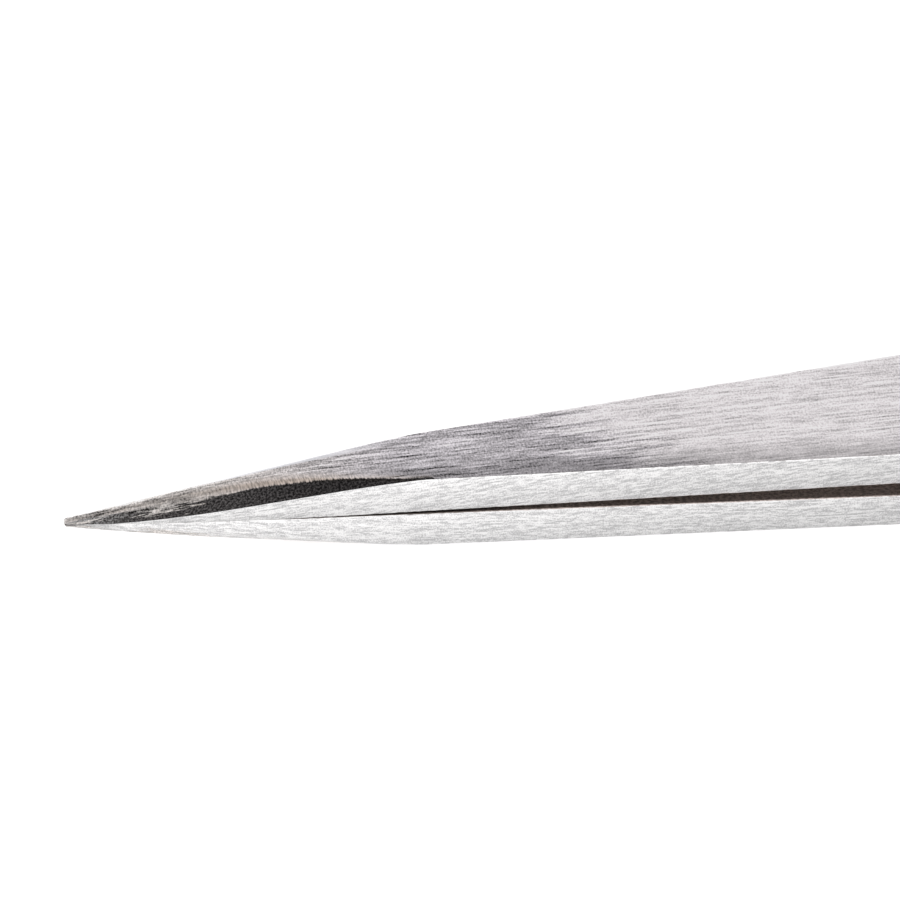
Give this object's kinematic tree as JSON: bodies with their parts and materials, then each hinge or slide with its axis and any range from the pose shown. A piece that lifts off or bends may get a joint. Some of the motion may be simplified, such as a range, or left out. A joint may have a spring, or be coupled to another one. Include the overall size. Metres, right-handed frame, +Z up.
{
  "type": "pointed precision tweezers",
  "caption": "Slim spring-steel arms welded at the tail and pressed shut, tapering to fine points with hand-ground side facets.",
  "frame": {"origin": "middle of the length and width, on the plane that the lower arm's flat back rests on", "axes": "+X along the pair from the points to the welded tail, +Y across the arms, +Z up from the lower arm to the upper arm"},
  "size_m": [0.125, 0.0094, 0.0044],
  "materials": {
    "blade_steel": "belt-ground spring steel, brushed along the arms, with coarser hand-ground facets at the points"
  },
  "bodies": {
    "root": {"upper_arm": "blade_steel", "lower_arm": "blade_steel"}
  },
  "joints": []
}
